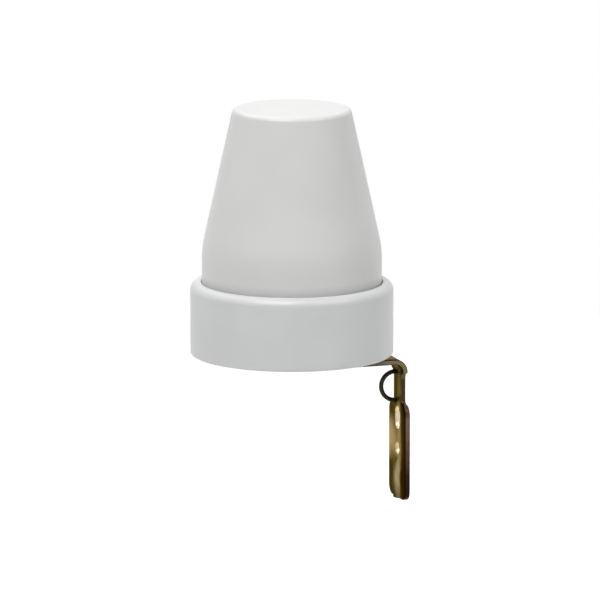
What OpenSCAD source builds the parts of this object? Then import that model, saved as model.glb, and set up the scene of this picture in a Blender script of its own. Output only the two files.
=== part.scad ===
// Photocell switch for outdoor lamps: a round base with a rolled rim, a tapered cover that lets daylight in,
// a pressed strip bracket that hangs below the base, and the switching circuit inside.
// The origin is the centre of the base's underside, on the axis of the lead inlet.
// +Z runs up through the cover and the bracket lies along +X. All sizes are in millimetres.

/* [Base] */
// Outside diameter of the base
base_d = 68; // [64:1:80]
// Height of the base from its underside to the top of the rim
base_h = 24.5; // [20:0.5:32]
// Thickness of the base floor
floor_t = 3; // [2.6:0.1:4]
// Width of the rim, which is the thickness of the wall too
rim_w = 3.7; // [3.5:0.1:4.5]
// Rounding of the rim's outer edge
rim_round = 2.9; // [1:0.1:3]
// Rounding of the rim's inner edge
lip_round = 0.4; // [0.3:0.1:0.5]
// Rounding of the base's bottom edge
foot_round = 0.8; // [0.6:0.1:2]

/* [Cover] */
// Height of the cover above the rim
cover_rise = 58.5; // [52:0.5:72]
// Height of the cover's straight skirt above the rim
skirt_rise = 11.5; // [6:0.5:18]
// Diameter of the cover at its crown, before the edge is rounded
crown_d = 39.5; // [34:0.5:46]
// Wall of the cover
cover_wall = 2; // [1.6:0.1:2.5]
// Rounding of the crown's edge
crown_round = 1.8; // [1:0.1:5]
// Radius of the soft shoulder between skirt and taper
shoulder_round = 36; // [20:1:50]
// Gap between the skirt and the rim
cover_gap = 0.2; // [0.2:0.1:1]
// Outside diameter of the screw bosses inside the cover
boss_d = 6; // [5:0.1:7]

/* [Cover seal] */
// Section of the sealing ring under the skirt
seal_d = 2.2; // [1.8:0.1:2.6]
// Depth of the ring's groove in the floor
seal_groove = 1; // [0.6:0.1:1.2]

/* [Cover screws] */
// Shank diameter of the screws that hold the cover
cover_screw_d = 2.9; // [2.2:0.1:3.2]
// Head diameter of those screws
cover_head_d = 5.6; // [5:0.1:6]
// Head height of those screws
cover_head_h = 1.7; // [1.2:0.1:1.9]
// Length of those screws under the head
cover_screw_l = 14; // [10:1:20]
// Depth of the recess that takes the head
head_recess = 2.2; // [2:0.1:2.4]
// Height of the pillar on the floor that meets each boss
pillar_h = 3; // [2:0.5:5]

/* [Lead inlet] */
// Bore of the grommet that the leads leave through
inlet_d = 6.5; // [5:0.5:8]
// Diameter of the grommet's neck
grommet_neck_d = 10; // [9.5:0.1:11]
// Diameter of the grommet's flanges
grommet_flange_d = 13; // [12:0.5:14]
// Height of the flange below the floor
grommet_foot = 2.4; // [1.6:0.1:3]
// Height of the flange above the floor
grommet_head = 1.6; // [1:0.1:2.4]

/* [Bracket] */
// Thickness of the bracket's strip
strip_t = 1.8; // [1.2:0.1:2.2]
// Width of the tongue under the base
tongue_w = 12; // [11:0.5:14]
// Width of the waist below the bend
neck_w = 7.2; // [6.6:0.1:8.6]
// Width of the plate that is screwed to the wall
plate_w = 17; // [15.5:0.5:24]
// Gap between the base's underside and the tongue
bracket_drop = 3.4; // [2.5:0.1:4]
// Distance from the side of the base to the wall face
stand_off = 5; // [3:0.5:12]
// Inside radius of the bend
bend_r = 2.7; // [1.8:0.1:3.5]
// Length of the waist between the bend and the plate
neck_l = 8.4; // [6:0.1:10]
// Rounding of the plate's upper corners
plate_shoulder_r = 3.6; // [2:0.1:4]
// Rounding of the plate's lower corners
plate_foot_r = 3.5; // [1:0.1:4.5]
// Width of the fixing slot
slot_w = 5.4; // [4.4:0.1:6]
// Overall length of the fixing slot
slot_l = 8; // [7:0.1:12]
// Diameter of the fixing hole
hole_d = 4.4; // [3.6:0.1:5.6]
// Web of metal between the slot and the hole
web_gap = 4.35; // [2.4:0.05:6]
// Web of metal between the hole and the rib
rib_gap = 1; // [0.8:0.1:4]
// Width of the stiffening rib
rib_w = 6; // [4:0.5:8]
// Length of the stiffening rib, which runs out at the plate's lower end
rib_l = 13.65; // [10:0.05:30]
// Height of the stiffening rib
rib_h = 1.2; // [0.6:0.1:1.4]

/* [Tie loop] */
// Wire diameter of the tie loop
loop_wire_d = 1.5; // [1.2:0.1:1.8]
// Radius of the tie loop at the middle of its wire
loop_r = 4.9; // [4.6:0.1:5.4]
// Distance of the tie loop from the middle of the strip
loop_offset = 2.2; // [0:0.1:2.4]

/* [Bracket screw] */
// Thread diameter of the bracket screw
bracket_screw_d = 4; // [3:0.5:4.5]
// Diameter of its countersunk head
bracket_head_d = 7.4; // [6.4:0.1:7.4]
// Distance of the screw from the axis of the base
bracket_screw_x = 15; // [14.5:0.5:17]
// Width of the nut across its flats
nut_af = 7; // [6:0.5:8]
// Height of the nut
nut_h = 3.2; // [2.4:0.1:3.6]

/* [Circuit board] */
// Thickness of the circuit board
board_t = 1.6; // [1:0.1:2]
// Height of the posts that the board stands on
post_h = 7; // [6:0.5:10]
// Shank diameter of the board screws
board_screw_d = 2.2; // [2:0.1:2.6]
// Head diameter of the board screws
board_head_d = 4; // [3.6:0.1:4.4]
// Diameter of the component legs
leg_d = 0.7; // [0.5:0.1:0.8]

/* [Components] */
// Width, length and height of the relay
relay_size = [15.2, 19, 15.5]; // [10:0.1:22]
// Width, length and height of the mains dropper capacitor
film_size = [9, 18, 14.5]; // [5:0.1:22]
// Diameter of the smoothing capacitor
can_d = 8; // [6:0.5:9]
// Height of the smoothing capacitor
can_h = 12; // [10:0.5:16]
// Diameter of the light cell
cell_d = 5.2; // [4:0.1:6]
// Thickness of the light cell
cell_t = 2; // [1.6:0.1:2.4]
// Height of the light cell above the board
cell_rise = 33; // [28:1:44]
// Diameter of the varistor's disc
varistor_d = 7; // [6:0.1:8]
// Thickness of the varistor's disc
varistor_t = 3.2; // [2.4:0.1:3.4]
// Body diameter of the rectifier diodes
diode_d = 2.7; // [2:0.1:3]
// Body length of the rectifier diodes
diode_l = 5.2; // [4:0.1:5.6]
// Body diameter of the small resistors, at their end caps
resistor_d = 2.3; // [1.8:0.1:2.6]
// Body length of the small resistors
resistor_l = 6.4; // [5:0.1:7]
// Body diameter of the series resistor, at its end caps
power_resistor_d = 3.5; // [3:0.1:4]
// Body length of the series resistor
power_resistor_l = 10.5; // [9:0.1:11.5]
// Body diameter of the transistors
transistor_d = 4.6; // [4:0.1:5]

/* [Hidden] */
$fn = 96;

// Overlap that lets a cut run past the face it opens
past = 1;
// Sliding clearance on the radius of screws, wires and nuts
fit = 0.05;
// Free clearance on the radius of a screw hole
free = 0.25;

// Radii and heights of the base and cover
base_r = base_d / 2;
base_ri = base_r - rim_w;
cover_r = base_ri - cover_gap;
cover_ri = cover_r - cover_wall;
skirt_top = base_h + skirt_rise;
crown_z = base_h + cover_rise;
crown_r = crown_d / 2;
taper = atan((cover_r - crown_r) / (crown_z - skirt_top));
inner_round = 0.5;

// The seal fills the room between its groove and the cover's foot
seal_r = cover_r - cover_wall / 2;
seal_floor = floor_t - seal_groove;
cover_foot = seal_floor + seal_d;
groove_w = seal_d + 2 * fit;

// Cover screws stand clear of the bracket, one behind the axis and one on either side of the tongue
cover_screw_angles = [60, 180, 300];
boss_setback = 0.8;
boss_web = 1.8;
boss_ring_r = cover_ri - boss_d / 2 - boss_setback;
pillar_d = boss_d + 0.4;
pillar_z = floor_t + pillar_h;
head_room = 0.25;

// Lead inlet
neck_hole_r = grommet_neck_d / 2 + fit;
grommet_round = 0.8;

// Bracket: levels of the tongue, places along the leg and the rib's arc
tongue_top = -bracket_drop;
tongue_bottom = tongue_top - strip_t;
wall_x = base_r + stand_off;
inner_x = wall_x - strip_t;
bend_x = inner_x - bend_r;
bend_z = tongue_bottom - bend_r;
waist_r = (tongue_w - neck_w) / 2;
waist_start = 0.4;
waist_z = bend_z - waist_start - waist_r;
neck_fillet = 1.2;
plate_top = -waist_z + neck_l;
loop_edge = 0.35;
slot_gap = 0.85;
loop_mid = -bend_z + loop_edge + loop_wire_d / 2 + loop_r;
loop_foot = loop_mid + loop_r + loop_wire_d / 2;
slot_z = -max(loop_foot, plate_top) - slot_gap - slot_l / 2;
hole_z = slot_z - slot_l / 2 - web_gap - hole_d / 2;
rib_top = hole_z - hole_d / 2 - rib_gap;
leg_drop = rib_l - rib_top;
rib_r = (rib_h * rib_h + rib_w * rib_w / 4) / (2 * rib_h);
rib_x = inner_x - rib_h + rib_r;

// The pad on the base's underside holds the tongue between two lips
pad_reach = 8;
pad_corner_r = 1.5;
pad_start = grommet_flange_d / 2 + 1;
pad_end = bracket_screw_x + pad_reach;
lip_w = 1.8;
lip_depth = strip_t - 0.4;
tongue_side_gap = 0.2;

// Bracket screw: the countersunk head is flush with the tongue
bracket_screw_r = bracket_screw_d / 2;
countersink_h = bracket_head_d / 2 - bracket_screw_r;
nut_wall = 2;
nut_pocket_h = nut_h - 0.6;
screw_end = floor_t + nut_h + 1.2;

// Circuit board
board_z = floor_t + post_h;
board_top = board_z + board_t;
board_setback = 5;
board_r = cover_ri - board_setback;
board_notch_gap = 0.9;
board_notch_r = boss_d / 2 + board_notch_gap;
board_screw_inset = 2.6;
board_screw_r = board_r - board_screw_inset;
board_screw_angles = [35, 222];
board_head_h = 1.5;
board_screw_l = 6;
post_d = 6;
leg_tail = 1.4;
leg_end = board_z - leg_tail;
leg_hole_r = leg_d / 2 + 0.1;

// Component places on the board: the resistors and the light cell share a lane between relay and film box
lane_pitch = resistor_d + 0.7;
lane_w = 3 * lane_pitch + 0.8;
lane_x = 2.2;
part_gap = 1.2;
relay_at = [lane_x - lane_w / 2 - relay_size[0] / 2, 0];
film_at = [lane_x + lane_w / 2 + film_size[0] / 2, -2];
film_leg_pitch = film_size[1] - 3;
can_shift = 4;
can_gap = 2;
can_at = [lane_x + can_shift, film_at[1] + film_size[1] / 2 + can_gap + can_d / 2];
can_leg_pitch = 3.5;
cell_at = [lane_x, 5];
cell_leg_pitch = 3.4;
cell_z = board_top + cell_rise;
sleeve_r = 0.7;
axial_pitch = 7.6;
resistor_pitch = 9;
diode_pitch = diode_d + 0.8;
diode_y = -(relay_size[1] / 2 + part_gap + axial_pitch / 2);
row_inset = 1.3;
diode_x = [for (i = [0 : 3]) relay_at[0] + row_inset + i * diode_pitch];
zener_d = 2.2;
zener_l = 4.2;
cap_swell = 1.18;
resistor_cap_l = 1.5;
power_cap_l = 2;
zener_x = diode_x[3] + diode_d / 2 + part_gap + zener_d / 2;
resistor_x = [for (i = [-1 : 1]) lane_x + i * lane_pitch];
resistor_y = -3.5;
power_resistor_at = [film_at[0] + film_size[0] / 2 + part_gap + power_resistor_d / 2, -1];
power_resistor_pitch = 14;
transistor_y = relay_size[1] / 2 + part_gap + transistor_d / 2 + 1;
transistor_inset = 3.8;
transistor_x = [for (i = [0 : 1]) relay_at[0] + transistor_inset + i * (transistor_d + part_gap)];
transistor_h = 4.6;
transistor_lift = 2;
transistor_leg_pitch = 1.27;
varistor_inset = 3;
varistor_at = [relay_at[0] - varistor_inset, relay_size[1] / 2 + part_gap + varistor_t / 2 + 0.6];
varistor_leg_pitch = 5;
varistor_lift = 1;
lead_hole_r = 0.8;
lead_hole_pitch = 3;
lead_hole_inset = 2.2;
relay_leg_pitch = 12;
contact_inset = 2.5;
coil_inset = 4.5;
common_inset = 2;

// Where every component leg passes through the board
relay_legs = [
    for (s = [-1, 1]) [relay_at[0] + s * relay_leg_pitch / 2, relay_size[1] / 2 - contact_inset],
    for (s = [-1, 1]) [relay_at[0] + s * relay_leg_pitch / 2, -relay_size[1] / 2 + coil_inset],
    [relay_at[0], -relay_size[1] / 2 + common_inset]
];
film_legs = [for (s = [-1, 1]) film_at + [0, s * film_leg_pitch / 2]];
can_legs = [for (s = [-1, 1]) can_at + [s * can_leg_pitch / 2, 0]];
cell_legs = [for (s = [-1, 1]) cell_at + [s * cell_leg_pitch / 2, 0]];
diode_legs = [for (x = diode_x) for (s = [-1, 1]) [x, diode_y + s * axial_pitch / 2]];
zener_legs = [for (s = [-1, 1]) [zener_x, diode_y + s * axial_pitch / 2]];
resistor_legs = [for (x = resistor_x) for (s = [-1, 1]) [x, resistor_y + s * resistor_pitch / 2]];
power_resistor_legs = [for (s = [-1, 1]) power_resistor_at + [0, s * power_resistor_pitch / 2]];
transistor_legs = [for (x = transistor_x) for (i = [-1 : 1]) [x + i * transistor_leg_pitch, transistor_y]];
varistor_legs = [for (s = [-1, 1]) varistor_at + [s * varistor_leg_pitch / 2, 0]];
board_legs = concat(
    relay_legs, film_legs, can_legs, cell_legs, diode_legs, zener_legs,
    resistor_legs, power_resistor_legs, transistor_legs, varistor_legs
);

// A point at a distance and an angle from the axis
function polar(r, angle) = [r * cos(angle), r * sin(angle)];

// A vector of length one
function unit(v) = v / norm(v);

// What a rounded square corner loses: side is the way the corner points
module square_corner_cut(corner, side, r) {
    centre = [corner[0] - side[0] * r, corner[1] - side[1] * r];
    reach = r + past;
    difference() {
        polygon([
            centre,
            centre + [side[0] * reach, 0],
            centre + [side[0] * reach, side[1] * reach],
            centre + [0, side[1] * reach]
        ]);
        translate(centre) circle(r);
    }
}

// What a rounded corner of any angle loses, between its neighbours before and after
module corner_cut(before, corner, after, r) {
    u = unit(before - corner);
    v = unit(after - corner);
    half = acos(u * v) / 2;
    run = r / tan(half);
    middle = unit(u + v);
    difference() {
        polygon([corner + u * run, corner - middle * past, corner + v * run]);
        translate(corner + middle * r / sin(half)) circle(r);
    }
}

// A rectangle about the origin with rounded corners
module rounded_rectangle(size, r) {
    difference() {
        square(size, center = true);
        for (sx = [-1, 1], sy = [-1, 1])
            square_corner_cut([sx * size[0] / 2, sy * size[1] / 2], [sx, sy], r);
    }
}

// A slot along Y with round ends, by its overall length
module slot_outline(w, l) {
    square([w, l - w], center = true);
    for (s = [-1, 1]) translate([0, s * (l - w) / 2]) circle(d = w);
}

// A rod along Z with round ends, between two heights of its ends' centres
module capsule(r, bottom, top) {
    translate([0, 0, bottom]) rotate_extrude() {
        square([r, top - bottom]);
        intersection() {
            translate([0, top - bottom]) circle(r);
            translate([0, top - bottom]) square(r);
        }
        intersection() {
            circle(r);
            translate([0, -r]) square(r);
        }
    }
}

// A screw's cross recess, from its top face down
module cross_recess(width, depth) {
    for (a = [0, 90])
        rotate(a) translate([-width / 2, -width / 8, -depth]) cube([width, width / 4, depth + past]);
}

// A pan-head screw that points up, with the underside of its head at the origin
module pan_screw(d, head_d, head_h, l) {
    tip = d / 2;
    difference() {
        union() {
            rotate_extrude() difference() {
                translate([0, -head_h]) square([head_d / 2, head_h]);
                square_corner_cut([head_d / 2, -head_h], [1, -1], head_h * 0.6);
            }
            cylinder(d = d, h = l - tip);
            translate([0, 0, l - tip]) cylinder(d1 = d, d2 = d / 3, h = tip);
        }
        translate([0, 0, -head_h]) mirror([0, 0, 1]) cross_recess(head_d * 0.62, head_h * 0.55);
    }
}

// The base's section: floor and wall in one, with its rounded edges
module base_section() {
    difference() {
        union() {
            square([base_r, floor_t]);
            translate([base_ri, 0]) square([rim_w, base_h]);
        }
        square_corner_cut([base_r, 0], [1, -1], foot_round);
        square_corner_cut([base_r, base_h], [1, 1], rim_round);
        square_corner_cut([base_ri, base_h], [-1, 1], lip_round);
    }
}

// The pad under the floor that the tongue is clamped to, with a lip on either side of the tongue
module tongue_pad() {
    middle = (pad_start + pad_end) / 2;
    width = tongue_w + 2 * (lip_w + tongue_side_gap);
    difference() {
        translate([middle, 0, tongue_top - lip_depth])
            linear_extrude(bracket_drop + lip_depth + floor_t / 2)
                rounded_rectangle([pad_end - pad_start, width], pad_corner_r);
        translate([pad_start - past, -tongue_w / 2 - tongue_side_gap, tongue_top - lip_depth - past])
            cube([pad_end - pad_start + 2 * past, tongue_w + 2 * tongue_side_gap, lip_depth + past]);
    }
}

// Pillars, posts and the nut's boss that rise from the floor
module floor_bosses() {
    for (a = cover_screw_angles) translate(polar(boss_ring_r, a)) cylinder(d = pillar_d, h = pillar_z);
    for (a = board_screw_angles) translate(polar(board_screw_r, a)) cylinder(d = post_d, h = board_z);
    translate([bracket_screw_x, 0, 0])
        cylinder(d = nut_af / cos(30) + 2 * nut_wall, h = floor_t + nut_pocket_h);
}

module base() {
    color("gainsboro") difference() {
        union() {
            rotate_extrude() base_section();
            floor_bosses();
            tongue_pad();
        }
        rotate_extrude()
            translate([seal_r - groove_w / 2, seal_floor]) square([groove_w, seal_groove + past]);
        translate([0, 0, -past]) cylinder(r = neck_hole_r, h = floor_t + 2 * past);
        for (a = cover_screw_angles) translate(polar(boss_ring_r, a)) {
            translate([0, 0, -past]) cylinder(d = cover_head_d + 2 * head_room, h = head_recess + past);
            cylinder(d = cover_screw_d + 2 * free, h = pillar_z + past);
        }
        for (a = board_screw_angles) translate(concat(polar(board_screw_r, a), board_z - board_screw_l))
            cylinder(d = board_screw_d + 2 * fit, h = board_screw_l + past);
        translate([bracket_screw_x, 0, tongue_top - past])
            cylinder(d = bracket_screw_d + 2 * free, h = bracket_drop + floor_t + 2 * past);
        translate([bracket_screw_x, 0, floor_t])
            cylinder(d = (nut_af + 2 * fit) / cos(30), h = nut_h + past, $fn = 6);
    }
}

// Half section of the cover's outside, moved in by inset: skirt, soft shoulder, taper and crown
module cover_section(inset, foot) {
    skirt_r = cover_r - inset;
    shoulder_z = skirt_top - inset * tan(taper / 2);
    top_z = crown_z - inset;
    top_r = skirt_r - (top_z - shoulder_z) * tan(taper);
    foot_corner = [skirt_r, foot];
    shoulder = [skirt_r, shoulder_z];
    crown = [top_r, top_z];
    crown_middle = [0, top_z];
    difference() {
        polygon([[0, foot], foot_corner, shoulder, crown, crown_middle]);
        corner_cut(foot_corner, shoulder, crown, shoulder_round - inset);
        corner_cut(shoulder, crown, crown_middle, max(crown_round - inset, inner_round));
    }
}

// Screw bosses of the cover, each tied to the wall by a web, up to where the taper meets them
module cover_bosses() {
    boss_top = crown_z - cover_wall - crown_round;
    intersection() {
        rotate_extrude() cover_section(cover_wall / 2, cover_foot);
        for (a = cover_screw_angles) rotate(a) translate([0, 0, pillar_z]) {
            translate([boss_ring_r, 0, 0]) cylinder(d = boss_d, h = boss_top - pillar_z);
            translate([boss_ring_r, -boss_web / 2, 0])
                cube([cover_r - boss_ring_r, boss_web, boss_top - pillar_z]);
        }
    }
}

module cover() {
    color("whitesmoke") difference() {
        union() {
            rotate_extrude() difference() {
                cover_section(0, cover_foot);
                cover_section(cover_wall, cover_foot - past);
            }
            cover_bosses();
        }
        for (a = cover_screw_angles) translate(concat(polar(boss_ring_r, a), pillar_z - past))
            cylinder(d = cover_screw_d + 2 * fit, h = cover_screw_l + past);
    }
}

module cover_seal() {
    color("dimgray") rotate_extrude() translate([seal_r, seal_floor + seal_d / 2]) circle(d = seal_d);
}

module cover_screws() {
    color("silver") for (a = cover_screw_angles) translate(concat(polar(boss_ring_r, a), head_recess))
        pan_screw(cover_screw_d, cover_head_d, cover_head_h, cover_screw_l);
}

module lead_grommet() {
    color("dimgray") rotate_extrude() translate([inlet_d / 2, 0]) difference() {
        union() {
            translate([0, -grommet_foot]) square([(grommet_flange_d - inlet_d) / 2, grommet_foot]);
            square([(grommet_neck_d - inlet_d) / 2, floor_t]);
            translate([0, floor_t]) square([(grommet_flange_d - inlet_d) / 2, grommet_head]);
        }
        square_corner_cut([(grommet_flange_d - inlet_d) / 2, -grommet_foot], [1, -1], grommet_round);
        square_corner_cut([(grommet_flange_d - inlet_d) / 2, floor_t + grommet_head], [1, 1], grommet_round);
    }
}

// The tongue's outline: a strip with a round inner end about the screw
module tongue_outline() {
    translate([bracket_screw_x, -tongue_w / 2]) square([bend_x - bracket_screw_x, tongue_w]);
    translate([bracket_screw_x, 0]) circle(d = tongue_w);
}

// The hanging leg's outline in Y and Z: waist below the bend, then the plate
module leg_outline() {
    difference() {
        translate([-tongue_w / 2, waist_z]) square([tongue_w, bend_z - waist_z]);
        for (s = [-1, 1]) translate([s * tongue_w / 2, waist_z]) circle(waist_r);
    }
    translate([-neck_w / 2, -plate_top - past]) square([neck_w, waist_z + plate_top + past]);
    difference() {
        translate([-neck_w / 2 - neck_fillet, -plate_top - past])
            square([neck_w + 2 * neck_fillet, neck_fillet + past]);
        for (s = [-1, 1])
            translate([s * (neck_w / 2 + neck_fillet), neck_fillet - plate_top]) circle(neck_fillet);
    }
    difference() {
        translate([-plate_w / 2, -leg_drop]) square([plate_w, leg_drop - plate_top]);
        for (s = [-1, 1]) {
            square_corner_cut([s * plate_w / 2, -plate_top], [s, 1], plate_shoulder_r);
            square_corner_cut([s * plate_w / 2, -leg_drop], [s, -1], plate_foot_r);
        }
    }
}

// Slot, hole and the two wire holes of the leg
module leg_holes() {
    translate([0, slot_z]) slot_outline(slot_w, slot_l);
    translate([0, hole_z]) circle(d = hole_d);
    for (s = [-1, 1]) translate([loop_offset, -loop_mid + s * loop_r]) circle(d = loop_wire_d + 2 * fit);
}

// The pressed rib: proud of the inner face, a groove behind it in the wall face, and open at the lower end
module rib_bead() {
    cut_depth = strip_t / 2;
    intersection() {
        translate([rib_x, 0, 0]) capsule(rib_r, -leg_drop - past, rib_top - rib_w / 2);
        translate([inner_x - rib_h - past, -plate_w / 2, -leg_drop])
            cube([rib_h + past + cut_depth, plate_w, leg_drop - plate_top]);
    }
}

module bracket() {
    color("darkgoldenrod") difference() {
        union() {
            translate([0, 0, tongue_bottom]) linear_extrude(strip_t) tongue_outline();
            translate([bend_x, 0, bend_z]) rotate([90, 0, 0]) rotate_extrude(angle = 90)
                translate([bend_r, -tongue_w / 2]) square([strip_t, tongue_w]);
            translate([inner_x, 0, 0]) rotate([90, 0, 90]) linear_extrude(strip_t) difference() {
                leg_outline();
                leg_holes();
            }
            rib_bead();
        }
        translate([rib_x, 0, 0]) capsule(rib_r - strip_t, -leg_drop - past, rib_top - rib_w / 2);
        translate([bracket_screw_x, 0, tongue_bottom - past])
            cylinder(d = bracket_screw_d + 2 * free, h = strip_t + 2 * past);
        translate([bracket_screw_x, 0, tongue_bottom])
            cylinder(d1 = bracket_head_d + 2 * fit, d2 = bracket_screw_d + 2 * fit, h = countersink_h);
    }
}

// Half a ring of wire on the inner side of the waist, its ends set flush in the strip
module tie_loop() {
    color("dimgray") translate([inner_x, loop_offset, -loop_mid]) {
        rotate([0, -90, 0]) rotate([90, 0, 0]) rotate_extrude(angle = 180)
            translate([loop_r, 0]) circle(d = loop_wire_d);
        for (s = [-1, 1])
            translate([0, 0, s * loop_r]) rotate([0, 90, 0]) cylinder(d = loop_wire_d, h = strip_t);
    }
}

module bracket_screw() {
    color("goldenrod") translate([bracket_screw_x, 0, tongue_bottom]) difference() {
        union() {
            cylinder(d1 = bracket_head_d, d2 = bracket_screw_d, h = countersink_h);
            cylinder(d = bracket_screw_d, h = screw_end - tongue_bottom);
        }
        mirror([0, 0, 1]) cross_recess(bracket_head_d * 0.6, countersink_h * 0.7);
    }
}

module bracket_nut() {
    chamfer = 0.5;
    corner_r = nut_af / cos(30) / 2;
    color("goldenrod") translate([bracket_screw_x, 0, floor_t]) difference() {
        intersection() {
            cylinder(r = corner_r, h = nut_h, $fn = 6);
            union() {
                cylinder(r = corner_r, h = nut_h - chamfer);
                translate([0, 0, nut_h - chamfer])
                    cylinder(r1 = corner_r, r2 = corner_r - chamfer, h = chamfer);
            }
        }
        translate([0, 0, -past]) cylinder(d = bracket_screw_d + 2 * fit, h = nut_h + 2 * past);
    }
}

module circuit_board() {
    color("sienna") translate([0, 0, board_z]) linear_extrude(board_t) difference() {
        circle(board_r);
        for (a = cover_screw_angles) translate(polar(boss_ring_r, a)) circle(board_notch_r);
        for (a = board_screw_angles) translate(polar(board_screw_r, a)) circle(d = board_screw_d + 2 * free);
        for (p = board_legs) translate(p) circle(leg_hole_r);
        for (i = [-1 : 1]) translate([i * lead_hole_pitch, lead_hole_inset - board_r]) circle(lead_hole_r);
    }
}

module board_screws() {
    color("silver") for (a = board_screw_angles) translate(concat(polar(board_screw_r, a), board_top))
        mirror([0, 0, 1]) pan_screw(board_screw_d, board_head_d, board_head_h, board_screw_l + board_t - fit);
}

// Straight legs from a height down through the board
module legs(places, top) {
    for (p = places) translate(concat(p, leg_end)) cylinder(d = leg_d, h = top - leg_end);
}

// A part that lies on its two bent legs along Y: the body is turned from a half section
module axial_part(at, body_d, body_l, pitch, cap_d = 0, cap_l = 0) {
    axis_z = board_top + max(body_d, cap_d) / 2;
    translate([at[0], at[1], axis_z]) rotate([90, 0, 0]) {
        cylinder(d = body_d, h = body_l, center = true);
        if (cap_d > 0)
            for (s = [-1, 1])
                translate([0, 0, s * (body_l - cap_l) / 2]) cylinder(d = cap_d, h = cap_l, center = true);
        cylinder(d = leg_d, h = pitch, center = true);
    }
    for (s = [-1, 1]) translate([at[0], at[1] + s * pitch / 2, 0]) {
        translate([0, 0, leg_end]) cylinder(d = leg_d, h = axis_z - leg_end);
        translate([0, 0, axis_z]) sphere(d = leg_d);
    }
}

module relay() {
    edge = 0.6;
    color("royalblue") {
        translate(concat(relay_at, board_top)) linear_extrude(relay_size[2])
            rounded_rectangle([relay_size[0], relay_size[1]], edge);
        legs(relay_legs, board_top + past);
    }
}

module dropper_capacitor() {
    edge = 0.8;
    color("firebrick") {
        translate(concat(film_at, board_top)) linear_extrude(film_size[2])
            rounded_rectangle([film_size[0], film_size[1]], edge);
        legs(film_legs, board_top + past);
    }
}

// The can has a rolled groove above its bung, a rounded top edge and a shallow scored cross
module smoothing_capacitor() {
    groove = 0.5;
    groove_z = 2;
    score = 0.2;
    color("midnightblue") {
        translate(concat(can_at, board_top)) difference() {
            rotate_extrude() difference() {
                square([can_d / 2, can_h]);
                translate([can_d / 2 + groove / 2, groove_z]) circle(groove);
                square_corner_cut([can_d / 2, can_h], [1, 1], 0.7);
            }
            translate([0, 0, can_h]) cross_recess(can_d * 0.6, score);
        }
        legs(can_legs, board_top + past);
    }
}

// The cell's disc has two flats, and its track is a shallow groove that winds across the window
module light_cell() {
    flat = 0.35;
    track_w = 0.35;
    track_depth = 0.15;
    runs = 5;
    window = cell_d * 0.6;
    run_pitch = window / (runs - 1);
    color("linen") {
        translate(concat(cell_at, cell_z)) difference() {
            intersection() {
                cylinder(d = cell_d, h = cell_t);
                translate([-cell_d / 2, -cell_d / 2 + flat, 0]) cube([cell_d, cell_d - 2 * flat, cell_t]);
            }
            for (i = [0 : runs - 1])
                translate([-window / 2, (i - (runs - 1) / 2) * run_pitch - track_w / 2, cell_t - track_depth])
                    cube([window, track_w, track_depth + past]);
            for (i = [0 : runs - 2])
                translate([
                    (i % 2 == 0 ? 1 : -1) * (window - track_w) / 2 - track_w / 2,
                    (i - (runs - 1) / 2) * run_pitch,
                    cell_t - track_depth
                ]) cube([track_w, run_pitch, track_depth + past]);
        }
        legs(cell_legs, cell_z + cell_t / 2);
    }
}

// Insulating sleeves that stand on the board round the cell's long legs and hold the disc up
module cell_sleeves() {
    color("lightyellow") for (p = cell_legs) translate(concat(p, board_top)) difference() {
        cylinder(r = sleeve_r, h = cell_rise);
        translate([0, 0, -past]) cylinder(d = leg_d + 2 * fit, h = cell_rise + 2 * past);
    }
}

module rectifier_diodes() {
    color("black") for (x = diode_x) axial_part([x, diode_y], diode_d, diode_l, axial_pitch);
}

module zener_diode() {
    color("orangered") axial_part([zener_x, diode_y], zener_d, zener_l, axial_pitch);
}

module divider_resistors() {
    color("burlywood") for (x = resistor_x)
        axial_part(
            [x, resistor_y], resistor_d / cap_swell, resistor_l, resistor_pitch, resistor_d, resistor_cap_l
        );
}

module series_resistor() {
    color("lightsteelblue") axial_part(
        power_resistor_at, power_resistor_d / cap_swell, power_resistor_l, power_resistor_pitch,
        power_resistor_d, power_cap_l
    );
}

// Each transistor is a round body with one flat, standing on three legs
module transistors() {
    flat_at = transistor_d * 0.28;
    color("black") for (x = transistor_x) {
        translate([x, transistor_y, board_top + transistor_lift]) intersection() {
            cylinder(d = transistor_d, h = transistor_h);
            translate([-transistor_d / 2, -transistor_d / 2, 0])
                cube([transistor_d, transistor_d / 2 + flat_at, transistor_h]);
        }
        legs(
            [for (i = [-1 : 1]) [x + i * transistor_leg_pitch, transistor_y]],
            board_top + transistor_lift + past
        );
    }
}

// The varistor's disc stands on edge, and its dipped coating rounds the rim
module varistor() {
    edge = varistor_t * 0.35;
    disc_z = board_top + varistor_lift + varistor_d / 2;
    color("steelblue") {
        translate(concat(varistor_at, disc_z)) rotate([90, 0, 0]) rotate_extrude() difference() {
            translate([0, -varistor_t / 2]) square([varistor_d / 2, varistor_t]);
            for (s = [-1, 1]) square_corner_cut([varistor_d / 2, s * varistor_t / 2], [1, s], edge);
        }
        legs(varistor_legs, disc_z - varistor_d / 4);
    }
}

base();
cover();
cover_seal();
cover_screws();
lead_grommet();
bracket();
tie_loop();
bracket_screw();
bracket_nut();
circuit_board();
board_screws();
relay();
dropper_capacitor();
smoothing_capacitor();
light_cell();
cell_sleeves();
rectifier_diodes();
zener_diode();
divider_resistors();
series_resistor();
transistors();
varistor();
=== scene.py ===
"""Looks of the photocell switch: its finishes, the pressed bracket, the studio and the camera.

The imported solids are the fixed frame. Blender works in metres in that frame; the sizes written here are in
millimetres, and MM turns them into metres.
"""

import logging
import math
from dataclasses import dataclass
from enum import Enum

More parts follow.
